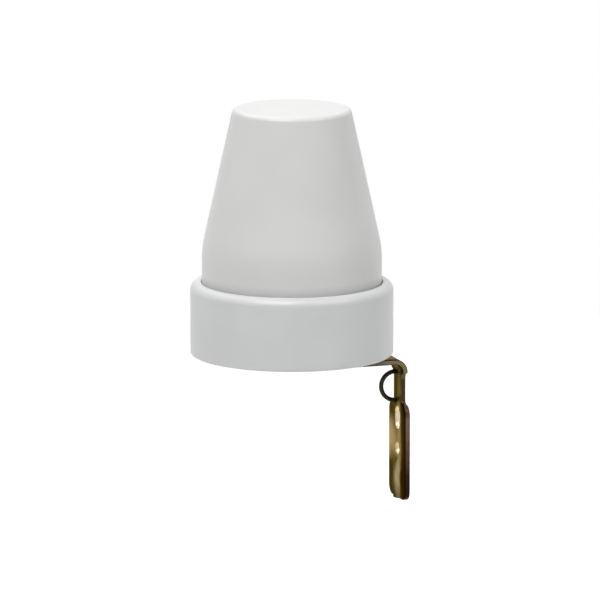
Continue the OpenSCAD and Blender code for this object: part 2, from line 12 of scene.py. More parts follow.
import bpy
import numpy as np
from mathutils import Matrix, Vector


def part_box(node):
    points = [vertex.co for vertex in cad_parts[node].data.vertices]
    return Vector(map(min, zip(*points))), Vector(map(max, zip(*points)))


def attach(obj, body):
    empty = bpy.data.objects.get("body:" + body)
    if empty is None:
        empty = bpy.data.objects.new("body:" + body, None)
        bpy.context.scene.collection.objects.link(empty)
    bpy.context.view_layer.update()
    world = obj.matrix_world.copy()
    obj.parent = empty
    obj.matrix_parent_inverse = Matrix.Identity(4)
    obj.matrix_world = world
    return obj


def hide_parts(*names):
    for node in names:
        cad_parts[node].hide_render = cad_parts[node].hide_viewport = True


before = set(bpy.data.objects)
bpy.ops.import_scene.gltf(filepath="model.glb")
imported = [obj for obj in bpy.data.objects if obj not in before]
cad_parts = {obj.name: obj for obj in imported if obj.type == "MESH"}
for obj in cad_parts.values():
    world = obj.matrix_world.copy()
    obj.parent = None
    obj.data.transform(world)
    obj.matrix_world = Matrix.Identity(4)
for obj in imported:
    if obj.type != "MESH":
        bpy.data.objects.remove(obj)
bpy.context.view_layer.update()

LOG = logging.getLogger("photocell_switch")
Tree, Node, Socket = bpy.types.NodeTree, bpy.types.Node, bpy.types.NodeSocket
MM = 0.001
# Keeps a division from meeting zero
TINY = 1e-9
# Inputs of a Mix node that mixes colours
MIX_A, MIX_B = 6, 7
# Most of a noise texture's values lie between these
NOISE_LOW, NOISE_HIGH = 0.3, 0.7


class Axis(Enum):
    """The direction that a component's bands are counted along."""

    Y = "Y"
    Z = "Z"


def linear(hex_code: str) -> tuple[float, float, float, float]:
    """Turns an sRGB hex colour into linear RGBA by the inverse of the sRGB curve.

    Args:
        hex_code: six hex digits.

    Returns:
        Red, green, blue and alpha.
    """
    srgb = np.array([int(hex_code[i:i + 2], 16) for i in (0, 2, 4)]) / 255
    rgb = np.where(srgb <= 0.04045, srgb / 12.92, ((srgb + 0.055) / 1.055) ** 2.4)
    return (*rgb.tolist(), 1.0)


def per(size_mm: float) -> float:
    """Gives the texture scale whose features are about size_mm across."""
    return 1 / (size_mm * MM)


def bare_tree(owner: bpy.types.Material | bpy.types.World) -> Tree:
    """Gives the node tree of a material or world, emptied.

    Args:
        owner: the material or world.

    Returns:
        Its tree, without nodes.
    """
    owner.use_nodes = True
    owner.node_tree.nodes.clear()
    return owner.node_tree


def plug(node: Node, inputs: dict) -> None:
    """Links or sets a node's inputs.

    Args:
        node: the node.
        inputs: for each input's name or index, an output socket to link from, a node whose first output in
            use is linked, or a constant.
    """
    for key, value in inputs.items():
        if isinstance(value, Node):
            value = next(socket for socket in value.outputs if socket.enabled)
        if isinstance(value, Socket):
            node.id_data.links.new(value, node.inputs[key])
        else:
            node.inputs[key].default_value = value


def add(
    tree: Tree, kind: str, inputs: dict | None = None, stops: tuple[tuple[float, str], ...] = (), **settings: object
) -> Node:
    """Adds a node with its settings and links.

    Args:
        tree: the node tree that it goes into.
        kind: Blender's type name without the ShaderNode prefix.
        inputs: what plug() links or sets.
        stops: for a colour ramp, the place and the hex colour of each stop.
        settings: properties of the node itself.

    Returns:
        The new node.
    """
    node = tree.nodes.new("ShaderNode" + kind)
    for name, value in settings.items():
        setattr(node, name, value)
    plug(node, inputs or {})
    for i, (place, hex_code) in enumerate(stops):
        elements = node.color_ramp.elements
        stop = elements[i] if i < len(elements) else elements.new(place)
        stop.position = place
        stop.color = linear(hex_code)
    return node


@dataclass(frozen=True)
class Finish:
    """What every finish has: a name, a main colour, its roughness with the swing to either side, and its bump."""

    name: str
    color: str
    roughness: float
    swing: tuple[float, float] = (0.08, 0.08)
    bump: float = 0.5
    depth_mm: float = 0.03

    def material(self) -> bpy.types.Material:
        """Makes the finish's material: one Principled shader that pattern() works on.

        Returns:
            The new material.
        """
        made = bpy.data.materials.new(self.name)
        tree = bare_tree(made)
        shader = add(tree, "BsdfPrincipled", {"Base Color": linear(self.color), "Roughness": self.roughness})
        add(tree, "OutputMaterial", {"Surface": shader})
        self.pattern(shader)
        return made

    def pattern(self, shader: Node) -> None:
        """Adds the finish's own nodes to the shader's tree; a plain finish has none."""

    def skin(self, shader: Node, tone: Node, gloss_by: Node, bump_by: Node) -> None:
        """Gives the shader a colour, and lets one pattern swing the roughness and another raise the surface.

        Args:
            shader: the material's Principled shader.
            tone: the colour.
            gloss_by: the pattern that the roughness follows.
            bump_by: the pattern that the surface follows.
        """
        tree = shader.id_data
        less, more = self.swing
        gloss = add(tree, "MapRange", {
            "Value": gloss_by, "From Min": NOISE_LOW, "From Max": NOISE_HIGH,
            "To Min": self.roughness - less, "To Max": self.roughness + more,
        })
        bump = add(tree, "Bump", {"Height": bump_by, "Strength": self.bump, "Distance": self.depth_mm * MM})
        plug(shader, {"Base Color": tone, "Roughness": gloss, "Normal": bump})


@dataclass(frozen=True)
class MouldedPlastic(Finish):
    """Injection-moulded plastic from a finely spark-eroded tool.

    The eye gets a soft satin sheen, a fine even grain, faint clouds where the melt flowed together and a little
    more or less gloss where hands have touched it. The grain is drawn coarser than it is, so that it shows. A
    painted shade may darken it from a given height up, fading out higher, in place of the shade that falls where
    it meets the part below.
    """

    swing: tuple[float, float] = (0.03, 0.03)
    depth_mm: float = 0.008
    shade: str = "DADAD8"
    # Colour, strength and heights of a painted shade just above a joint
    soil: str = "C4C4C1"
    soil_share: float = 0.0
    soil_low_mm: float = 0.0
    soil_high_mm: float = 1.0
    ior: float = 1.49
    grain_mm: float = 0.5
    cloud_mm: float = 22.0
    touch_mm: float = 9.0
    glow: float = 0.0
    glow_mm: float = 3.0

    def pattern(self, shader: Node) -> None:
        """Clouds and a painted shade by the joint drive the colour, touch marks the roughness and the tool's grain
        the bump.

        Args:
            shader: the material's Principled shader.
        """
        tree = shader.id_data
        place = add(tree, "TexCoord").outputs["Object"]
        cloud, touch, grain = (
            add(tree, "TexNoise", {"Vector": place, "Scale": per(size_mm), "Detail": detail})
            for size_mm, detail in ((self.cloud_mm, 2.0), (self.touch_mm, 4.0), (self.grain_mm, 3.0))
        )
        tint = add(tree, "ValToRGB", {"Fac": cloud}, stops=((0.36, self.shade), (0.62, self.color)))
        # Painted shade: darkens the colour just above the joint, where shade falls, fading out upwards
        painted_joint_shade = add(tree, "MapRange", {
            "Value": add(tree, "SeparateXYZ", {0: place}).outputs["Z"],
            "From Min": self.soil_low_mm * MM, "From Max": self.soil_high_mm * MM,
            "To Min": self.soil_share, "To Max": 0.0,
        }, interpolation_type="SMOOTHSTEP")
        tone = add(tree, "Mix", {0: painted_joint_shade, MIX_A: tint, MIX_B: linear(self.soil)}, data_type="RGBA")
        plug(shader, {
            "IOR": self.ior, "Subsurface Weight": self.glow,
            "Subsurface Radius": (1.0, 1.0, 1.0), "Subsurface Scale": self.glow_mm * MM,
        })
        self.skin(shader, tone, touch, grain)


@dataclass(frozen=True)
class PassivatedSheet(Finish):
    """Cold-rolled steel sheet, zinc plated and passivated yellow in a dip.

    The eye gets a film whose colour changes across the strip with cloudy borders: olive towards one edge,
    gold in a painted highlight in the middle and nearly black towards the other edge in a painted shade. A
    painted shade darkens it near every edge, and a tan painted highlight lies by the slot and the hole. It has
    the fine lines of the mill's rolls along it, drawn coarser than they are, so that they show.
    """

    swing: tuple[float, float] = (0.08, 0.12)
    bump: float = 0.6
    depth_mm: float = 0.012
    # Colours across the strip: the yellow film, with a painted gold highlight in the middle and a painted shade
    # turning nearly black towards one edge
    film: tuple[tuple[float, str], ...] = (
        (0.0, "180C04"), (0.17, "1E1006"), (0.26, "584626"), (0.33, "988662"),
        (0.41, "968660"), (0.5, "54472C"), (0.85, "45391F"), (1.0, "3E341C"),
    )
    # Painted highlight: a tan patch by the slot and the hole
    rubbed: str = "B39B72"
    rub_middle_mm: tuple[float, float] = (55.0, 8.5)
    rub_reach_mm: tuple[float, float] = (9.5, 12.5)
    rub_fade: tuple[float, float] = (0.2, 1.1)
    rub_cloud: float = 2.0
    tint: str = "C4BAA4"
    # Painted shade: within this distance of every edge, the film's brightness falls to the share below
    drain_mm: float = 7.0
    drained: float = 0.42
    half_mm: float = 8.5
    bath_mm: float = 9.0
    cloud: float = 0.08
    roll_across_mm: float = 0.35
    roll_along_mm: float = 9.0

    def pattern(self, shader: Node) -> None:
        """The place across the strip's own UV picks the film's colour, with its painted highlight and shade, and the
        roll lines the gloss and bump.

        The painted highlight by the slot and the hole fades with the distance from its middle, counted in shares of
        its reach along and across the strip, and the clouds move its border.

        Args:
            shader: the material's Principled shader.
        """
        tree = shader.id_data
        strip = add(tree, "TexCoord").outputs["UV"]
        bath = add(tree, "TexNoise", {"Vector": strip, "Scale": per(self.bath_mm), "Detail": 3.0, "Distortion": 0.6})
        across = add(tree, "MapRange", {
            "Value": add(tree, "SeparateXYZ", {0: strip}).outputs["Y"],
            "From Min": -self.half_mm * MM, "From Max": self.half_mm * MM,
        })
        drift = add(tree, "MapRange", {
            "Value": bath, "From Min": 0.2, "From Max": 0.8, "To Min": -self.cloud, "To Max": self.cloud,
        })
        place = add(tree, "Math", {0: across, 1: drift}, operation="ADD")
        # Film colour across the strip, with its painted highlight and painted shade
        film = add(tree, "ValToRGB", {"Fac": place}, stops=self.film)
        # Painted shade: darkens the film near every edge
        edge_shading_level = add(tree, "MapRange", {
            "Value": add(tree, "Attribute", attribute_name="from_edge").outputs["Fac"],
            "From Max": self.drain_mm * MM, "To Min": self.drained, "To Max": 1.0,
        }, interpolation_type="SMOOTHSTEP")
        drained = add(tree, "HueSaturation", {"Value": edge_shading_level, "Color": film})
        # Painted highlight: a tan patch by the slot and the hole, fading from its middle
        reach = [per(reach_mm) for reach_mm in self.rub_reach_mm]
        shift = [-middle_mm * MM * scale for middle_mm, scale in zip(self.rub_middle_mm, reach)]
        shares = add(tree, "Mapping", {"Vector": strip, "Location": (*shift, 0.0), "Scale": (*reach, 0.0)})
        away = add(tree, "VectorMath", {0: shares}, operation="LENGTH")
        cloudy = add(tree, "Math", {0: drift, 1: self.rub_cloud, 2: away}, operation="MULTIPLY_ADD")
        painted_highlight_share = add(tree, "MapRange", {
            "Value": cloudy, "From Min": self.rub_fade[0], "From Max": self.rub_fade[1],
            "To Min": 1.0, "To Max": 0.0,
        }, interpolation_type="SMOOTHSTEP")
        tone = add(tree, "Mix", {0: painted_highlight_share, MIX_A: drained, MIX_B: linear(self.rubbed)}, data_type="RGBA")
        stretched = add(tree, "Mapping", {
            "Vector": strip, "Scale": (per(self.roll_along_mm), per(self.roll_across_mm), 1.0),
        })
        rolls = add(tree, "TexNoise", {"Vector": stretched, "Scale": 1.0, "Detail": 3.0})
        plug(shader, {"Metallic": 1.0, "Specular Tint": linear(self.tint)})
        self.skin(shader, tone, rolls, rolls)


@dataclass(frozen=True)
class ShearedEdge(Finish):
    """The strip's outer edge, broken by the shear, with light and shade painted along it.

    The eye gets a dark metal edge whose colour along the strip paints in light and shade: grey along the tongue,
    olive at the bend and brown below, rough where the steel tore.
    """

    swing: tuple[float, float] = (0.1, 0.1)
    # Tones along the edge that paint in light and shade: grey on the tongue, olive at the bend, dark brown below
    drained: tuple[tuple[float, str], ...] = (
        (0.27, "55534F"), (0.31, "6C6750"), (0.41, "6A6546"), (0.46, "3E301E"),
        (0.6, "46362A"), (0.64, "6A5448"), (0.76, "584438"), (0.88, "2E2019"), (1.0, "241710"),
    )
    length_mm: float = 75.0
    tear_mm: float = 0.5
    patch_mm: float = 5.0
    cloud: float = 0.04

    def pattern(self, shader: Node) -> None:
        """The place along the strip picks the colour, with cloudy borders, and the tears the gloss and bump.

        Args:
            shader: the material's Principled shader.
        """
        tree = shader.id_data
        coordinates = add(tree, "TexCoord").outputs
        along = add(tree, "MapRange", {
            "Value": add(tree, "SeparateXYZ", {0: coordinates["UV"]}).outputs["X"], "From Max": self.length_mm * MM,
        })
        patch = add(tree, "TexNoise", {"Vector": coordinates["Object"], "Scale": per(self.patch_mm), "Detail": 3.0})
        drift = add(tree, "MapRange", {"Value": patch, "To Min": -self.cloud, "To Max": self.cloud})
        level = add(tree, "Math", {0: along, 1: drift}, operation="ADD")
        # Painted light and shade: the colour picked by the place along the edge
        tone = add(tree, "ValToRGB", {"Fac": level}, stops=self.drained)
        tear = add(tree, "TexNoise", {"Vector": coordinates["Object"], "Scale": per(self.tear_mm), "Detail": 4.0})
        plug(shader, {"Metallic": 1.0})
        self.skin(shader, tone, tear, tear)


@dataclass(frozen=True)
class PlatedMetal(Finish):
    """Plated or oxidised metal without a direction: screws, nuts, wire and cut edges.

    The eye gets a metal whose tone and gloss are a little uneven, with small spots where the film is thin.
    """

    bump: float = 0.4
    depth_mm: float = 0.01
    worn: str = "8C8C8C"
    patch_mm: float = 3.0
    spot_mm: float = 0.6

    def pattern(self, shader: Node) -> None:
        """Patches drive the colour, and finer spots the gloss and a slight bump.

        Args:
            shader: the material's Principled shader.
        """
        tree = shader.id_data
        place = add(tree, "TexCoord").outputs["Object"]
        patch = add(tree, "TexNoise", {"Vector": place, "Scale": per(self.patch_mm), "Detail": 4.0})
        tone = add(tree, "ValToRGB", {"Fac": patch}, stops=((0.35, self.worn), (0.6, self.color)))
        spot = add(tree, "TexNoise", {"Vector": place, "Scale": per(self.spot_mm), "Detail": 2.0})
        plug(shader, {"Metallic": 1.0})
        self.skin(shader, tone, spot, spot)


@dataclass(frozen=True)
class MouldedRubber(Finish):
    """Pressure-moulded black rubber.

    The eye gets a matt dark grey with a pale bloom of wax in places and a fine pitted skin.
    """

    bump: float = 0.35
    bloom: str = "3E3E3D"
    bloom_mm: float = 4.0
    pit_mm: float = 0.4

    def pattern(self, shader: Node) -> None:
        """Bloom drives the colour and the roughness, and pits the bump.

        Args:
            shader: the material's Principled shader.
        """
        tree = shader.id_data
        place = add(tree, "TexCoord").outputs["Object"]
        haze = add(tree, "TexNoise", {"Vector": place, "Scale": per(self.bloom_mm), "Detail": 5.0})
        tone = add(tree, "ValToRGB", {"Fac": haze}, stops=((0.4, self.color), (0.7, self.bloom)))
        pits = add(tree, "TexVoronoi", {"Vector": place, "Scale": per(self.pit_mm)})
        self.skin(shader, tone, haze, pits)


@dataclass(frozen=True)
class PaperLaminate(Finish):
    """Phenolic paper laminate with printed circuit tracks on its underside.

    The eye gets a brown board with darker paper fibres above, and below it tinned tracks that run in soft-edged
    fields between bare strips of board.
    """

    swing: tuple[float, float] = (0.1, 0.1)
    fibre: str = "7A5230"
    track: str = "A9A392"
    fibre_mm: float = 0.8
    fibre_length_mm: float = 4.8
    track_mm: float = 5.0
    bare_share: float = 0.09
    underside_mm: float = 10.2

    def pattern(self, shader: Node) -> None:
        """Fibres drive the colour; below the height of the underside, the cells of a Voronoi pattern are tracks.

        Args:
            shader: the material's Principled shader.
        """
        tree = shader.id_data
        place = add(tree, "TexCoord").outputs["Object"]
        drawn = add(tree, "Mapping", {
            "Vector": place, "Scale": (per(self.fibre_mm), per(self.fibre_length_mm), 1.0),
        })
        fibres = add(tree, "TexNoise", {"Vector": drawn, "Scale": 1.0, "Detail": 5.0})
        paper = add(tree, "ValToRGB", {"Fac": fibres}, stops=((0.35, self.fibre), (0.6, self.color)))
        cells = add(
            tree, "TexVoronoi", {"Vector": place, "Scale": per(self.track_mm)},
            feature="DISTANCE_TO_EDGE", voronoi_dimensions="2D",
        )
        copper = add(tree, "Math", {0: cells, 1: self.bare_share}, operation="GREATER_THAN")
        height = add(tree, "SeparateXYZ", {0: place}).outputs["Z"]
        below = add(tree, "Math", {0: height, 1: self.underside_mm * MM}, operation="LESS_THAN")
        tracks = add(tree, "Math", {0: copper, 1: below}, operation="MULTIPLY")
        tone = add(tree, "Mix", {0: tracks, MIX_A: paper, MIX_B: linear(self.track)}, data_type="RGBA")
        less, more = self.swing
        gloss = add(tree, "MapRange", {
            "Value": fibres, "To Min": self.roughness - less, "To Max": self.roughness + more,
        })
        plug(shader, {"Base Color": tone, "Metallic": tracks, "Roughness": gloss})


@dataclass(frozen=True)
class LeadedPart(Finish):
    """A dipped, moulded or sleeved component body on tinned legs.

    The eye gets the body's own colour with its rings or seams, a faint orange-peel skin, and bright tin on the
    legs that run out of it.
    """

    bump: float = 0.3
    axis: Axis = Axis.Z
    start_mm: float = 0.0
    end_mm: float = 1.0
    floor_mm: float = 11.6
    rings: tuple[tuple[float, str], ...] = ()
    mottle: tuple[float, float] = (0.92, 1.06)
    tin: str = "C4C2BC"
    tin_roughness: float = 0.28
    skin_mm: float = 1.1
    coat: float = 0.0

    def pattern(self, shader: Node) -> None:
        """The place along the axis picks the ring's colour; what lies past the ends or below the floor is tin.

        Args:
            shader: the material's Principled shader.
        """
        tree = shader.id_data
        place = add(tree, "TexCoord").outputs["Object"]
        split = add(tree, "SeparateXYZ", {0: place})
        along = add(tree, "MapRange", {
            "Value": split.outputs[self.axis.value],
            "From Min": self.start_mm * MM, "From Max": self.end_mm * MM,
        }, clamp=False)
        inside = add(tree, "Math", {0: along, 1: 0.5, 2: 0.5}, operation="COMPARE")
        above = add(tree, "Math", {0: split.outputs["Z"], 1: self.floor_mm * MM}, operation="GREATER_THAN")
        body = add(tree, "Math", {0: inside, 1: above}, operation="MULTIPLY")
        bands = add(tree, "ValToRGB", {"Fac": along}, stops=((0.0, self.color), *self.rings))
        bands.color_ramp.interpolation = "CONSTANT"
        skin = add(tree, "TexNoise", {"Vector": place, "Scale": per(self.skin_mm), "Detail": 2.0})
        mottle = add(tree, "MapRange", {
            "Value": skin, "From Min": NOISE_LOW, "From Max": NOISE_HIGH,
            "To Min": self.mottle[0], "To Max": self.mottle[1],
        })
        shaded = add(tree, "HueSaturation", {"Value": mottle, "Color": bands})
        tone = add(tree, "Mix", {0: body, MIX_A: linear(self.tin), MIX_B: shaded}, data_type="RGBA")
        metal = add(tree, "Math", {0: 1.0, 1: body}, operation="SUBTRACT")
        gloss = add(tree, "MapRange", {"Value": body, "To Min": self.tin_roughness, "To Max": self.roughness})
        bump = add(tree, "Bump", {"Height": skin, "Strength": self.bump, "Distance": self.depth_mm * MM})
        plug(shader, {
            "Base Color": tone, "Metallic": metal, "Roughness": gloss, "Normal": bump, "Coat Weight": self.coat,
        })


CLEAR_ZINC = PlatedMetal("zinc_plated_steel_clear", "C9CBCD", 0.3, worn="A9ABAD")


def dress(node: str, finish: Finish) -> None:
    """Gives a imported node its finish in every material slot.

    Args:
        node: the node's name.
        finish: what it is made of.
    """
    made = finish.material()
    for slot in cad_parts[node].material_slots:
        slot.material = made
    LOG.info("dressed %s in %s", node, finish.name)


def top(node: str) -> float:
    """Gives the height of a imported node's top in millimetres."""
    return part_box(node)[1].z / MM


def new_piece(
    name: str, vertices: np.ndarray, faces: np.ndarray, finishes: tuple[Finish, ...],
    indices: np.ndarray | None = None,
) -> bpy.types.Object:
    """Makes a smooth-shaded mesh object at the origin.

    Args:
        name: the piece's name.
        vertices: places in metres, one row each.
        faces: four vertex numbers for each face.
        finishes: the finish of each material slot.
        indices: the material slot of each face; all are in the first if it is left out.

    Returns:
        The new object, linked to the scene.
    """
    mesh = bpy.data.meshes.new(name)
    mesh.from_pydata(vertices.tolist(), [], faces.tolist())
    for finish in finishes:
        mesh.materials.append(finish.material())
    if indices is not None:
        mesh.polygons.foreach_set("material_index", indices.astype(np.int32))
    mesh.polygons.foreach_set("use_smooth", np.ones(len(faces), bool))
    mesh.update()
    made = bpy.data.objects.new(name, mesh)
    bpy.context.scene.collection.objects.link(made)
    return made


def grid_faces(rows: int, columns: int, closed: bool = False) -> np.ndarray:
    """Numbers the four corners of each cell of a grid whose points are counted row by row.

    Args:
        rows: rows of points.
        columns: points in a row.
        closed: whether the last column joins the first.

    Returns:
        One row of four numbers for each cell.
    """
    i, j = np.meshgrid(np.arange(rows - 1), np.arange(columns if closed else columns - 1), indexing="ij")
    k = (j + 1) % columns
    corners = [i * columns + j, i * columns + k, (i + 1) * columns + k, (i + 1) * columns + j]
    return np.stack([c.ravel() for c in corners], axis=1)


def direction(azimuth: float, elevation: float) -> Vector:
    """Gives the unit vector at an azimuth, counted from -Y towards +X, and an elevation, both in degrees."""
    a, e = math.radians(azimuth), math.radians(elevation)
    return Vector((math.sin(a) * math.cos(e), -math.cos(a) * math.cos(e), math.sin(e)))


def aimed(data: bpy.types.Camera | bpy.types.Light, place: Vector, way: Vector) -> bpy.types.Object:
    """Puts up a camera or a lamp.

    Args:
        data: its data, which also gives the object's name.
        place: where it stands, in metres.
        way: the direction that it looks against.

    Returns:
        The new object, linked to the scene.
    """
    made = bpy.data.objects.new(data.name, data)
    made.location = place
    made.rotation_euler = (-way).to_track_quat("-Z", "Y").to_euler()
    bpy.context.scene.collection.objects.link(made)
    return made


@dataclass
class Viewpoint:
    """The camera: where the photograph was taken from. Lengths are in millimetres."""

    azimuth: float = -18.0
    elevation: float = 10.75
    distance: float = 2900.0
    aim: tuple[float, float, float] = (1.91, -2.94, 18.4)
    lens: float = 520.6
    clip: float = 11600.0

    def build(self) -> None:
        """Makes the camera and makes it the scene's own."""
        back = direction(self.azimuth, self.elevation)
        data = bpy.data.cameras.new("camera")
        data.lens, data.clip_end = self.lens, self.clip * MM
        bpy.context.scene.camera = aimed(data, (Vector(self.aim) + back * self.distance) * MM, back)
        LOG.info("camera at azimuth %.1f, elevation %.1f", self.azimuth, self.elevation)


@dataclass(frozen=True)
class Softbox:
    """A square lamp that looks at the object from a direction: angles in degrees, lengths in metres."""

    name: str
    azimuth: float
    elevation: float
    power: float
    size: float = 1.2
    distance: float = 1.8

    def build(self) -> None:
        """Hangs the lamp and turns it to the object."""
        way = direction(self.azimuth, self.elevation)
        data = bpy.data.lights.new(self.name, "AREA")
        data.energy, data.size = self.power, self.size
        aimed(data, way * self.distance, way)


@dataclass
class Studio:
    """Plain pale floor, soft lamps and a white surround. Lengths are in millimetres."""

    floor_z: float = -120.0
    floor_r: float = 700.0
    floor_eye: float = 0.7
    floor_rings: int = 6
    floor_turns: int = 48
    floor_color: str = "F0F0EF"
    floor_lift: float = 0.4
    fibre: float = 3.0
    fibre_bump: float = 0.1
    fibre_depth: float = 0.1
    lamps: tuple[Softbox, ...] = (
        Softbox("key_lamp", -45.0, 58.0, 23.2),
        Softbox("right_lamp", 45.0, 47.0, 10.2),
        Softbox("left_lamp", -110.0, 30.0, 2.9),
        Softbox("edge_lamp", 110.0, 8.0, 1.3),
        Softbox("rear_left_lamp", -160.0, 55.0, 6.0),
        Softbox("rear_right_lamp", 160.0, 55.0, 4.0),
    )

    def build(self) -> None:
        """Sets the view transform, then makes the surround, floor and lamps."""
        bpy.context.scene.view_settings.view_transform = "Standard"
        self.surround()
        self.floor()
        for lamp in self.lamps:
            lamp.build()
        LOG.info("studio with %d lamps", len(self.lamps))

    @staticmethod
    def seen(tree: Tree) -> Socket:
        """Tells rays that show the background from those that only light.

        Args:
            tree: the node tree that asks.

        Returns:
            A socket with 1 for a ray from the camera, off gloss or through glass.
        """
        path = add(tree, "LightPath").outputs
        direct = add(tree, "Math", {0: path["Is Camera Ray"], 1: path["Is Glossy Ray"]}, operation="MAXIMUM")
        shown = add(tree, "Math", {0: direct, 1: path["Is Transmission Ray"]}, operation="MAXIMUM")
        return shown.outputs["Value"]

    def surround(self) -> None:
        """Makes the world: white where it is seen, and dark for rays that only light, so that the lamps do that."""
        world = bpy.data.worlds.new("white_surround")
        tree = bare_tree(world)
        light = add(tree, "Background", {"Color": (1.0, 1.0, 1.0, 1.0), "Strength": self.seen(tree)})
        add(tree, "OutputWorld", {"Surface": light})
        bpy.context.scene.world = world

    def floor(self) -> None:
        """Makes the floor: a disc on a grid of rings, pale from above and clear from below."""
        turn = np.linspace(0, 2 * np.pi, self.floor_turns, endpoint=False)
        reach = np.linspace(self.floor_eye, self.floor_r, self.floor_rings)[:, None] * MM
        level = np.full((self.floor_rings, self.floor_turns), self.floor_z * MM)
        points = np.stack([reach * np.cos(turn), reach * np.sin(turn), level], axis=-1)
        faces = grid_faces(*level.shape, closed=True)[:, ::-1]
        floor = new_piece("floor", points.reshape(-1, 3), faces, ())
        material = bpy.data.materials.new("matt_paper_floor")
        tree = bare_tree(material)
        fibre = add(tree, "TexNoise", {"Vector": add(tree, "TexCoord").outputs["Object"], "Scale": per(self.fibre)})
        bump = add(tree, "Bump", {"Height": fibre, "Strength": self.fibre_bump, "Distance": self.fibre_depth * MM})
        paper = add(tree, "BsdfDiffuse", {"Color": linear(self.floor_color), "Normal": bump})
        lift = add(tree, "Math", {0: self.seen(tree), 1: self.floor_lift}, operation="MULTIPLY")
        glow = add(tree, "Emission", {"Strength": lift})
        lit = add(tree, "AddShader", {0: paper, 1: glow})
        clear = add(tree, "BsdfTransparent")
        sided = add(tree, "MixShader", {0: add(tree, "NewGeometry").outputs["Backfacing"], 1: lit, 2: clear})
        add(tree, "OutputMaterial", {"Surface": sided})
        floor.data.materials.append(material)


@dataclass
class Housing:
    """Base, cover and what seals and holds them."""

    cover: MouldedPlastic = MouldedPlastic(
        "opal_polycarbonate_moulded", "E5E5E4", 0.33, shade="E2E2E0", ior=1.58, glow=0.12,
        # painted shade on the cover just above the base's rim
        soil_share=0.6, soil_low_mm=24.5, soil_high_mm=28.0,
    )
    base: MouldedPlastic = MouldedPlastic("white_abs_moulded", "E1E3E2", 0.34, shade="DDDFDE", ior=1.54)
    cover_seal: MouldedRubber = MouldedRubber("silicone_cord_moulded", "2B2B2C", 0.62)
    lead_grommet: MouldedRubber = MouldedRubber("chloroprene_rubber_moulded", "202021", 0.66)
    cover_screws: PlatedMetal = CLEAR_ZINC

    def build(self) -> None:
        """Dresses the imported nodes, whose names the fields have."""
        for node, finish in vars(self).items():
            dress(node, finish)


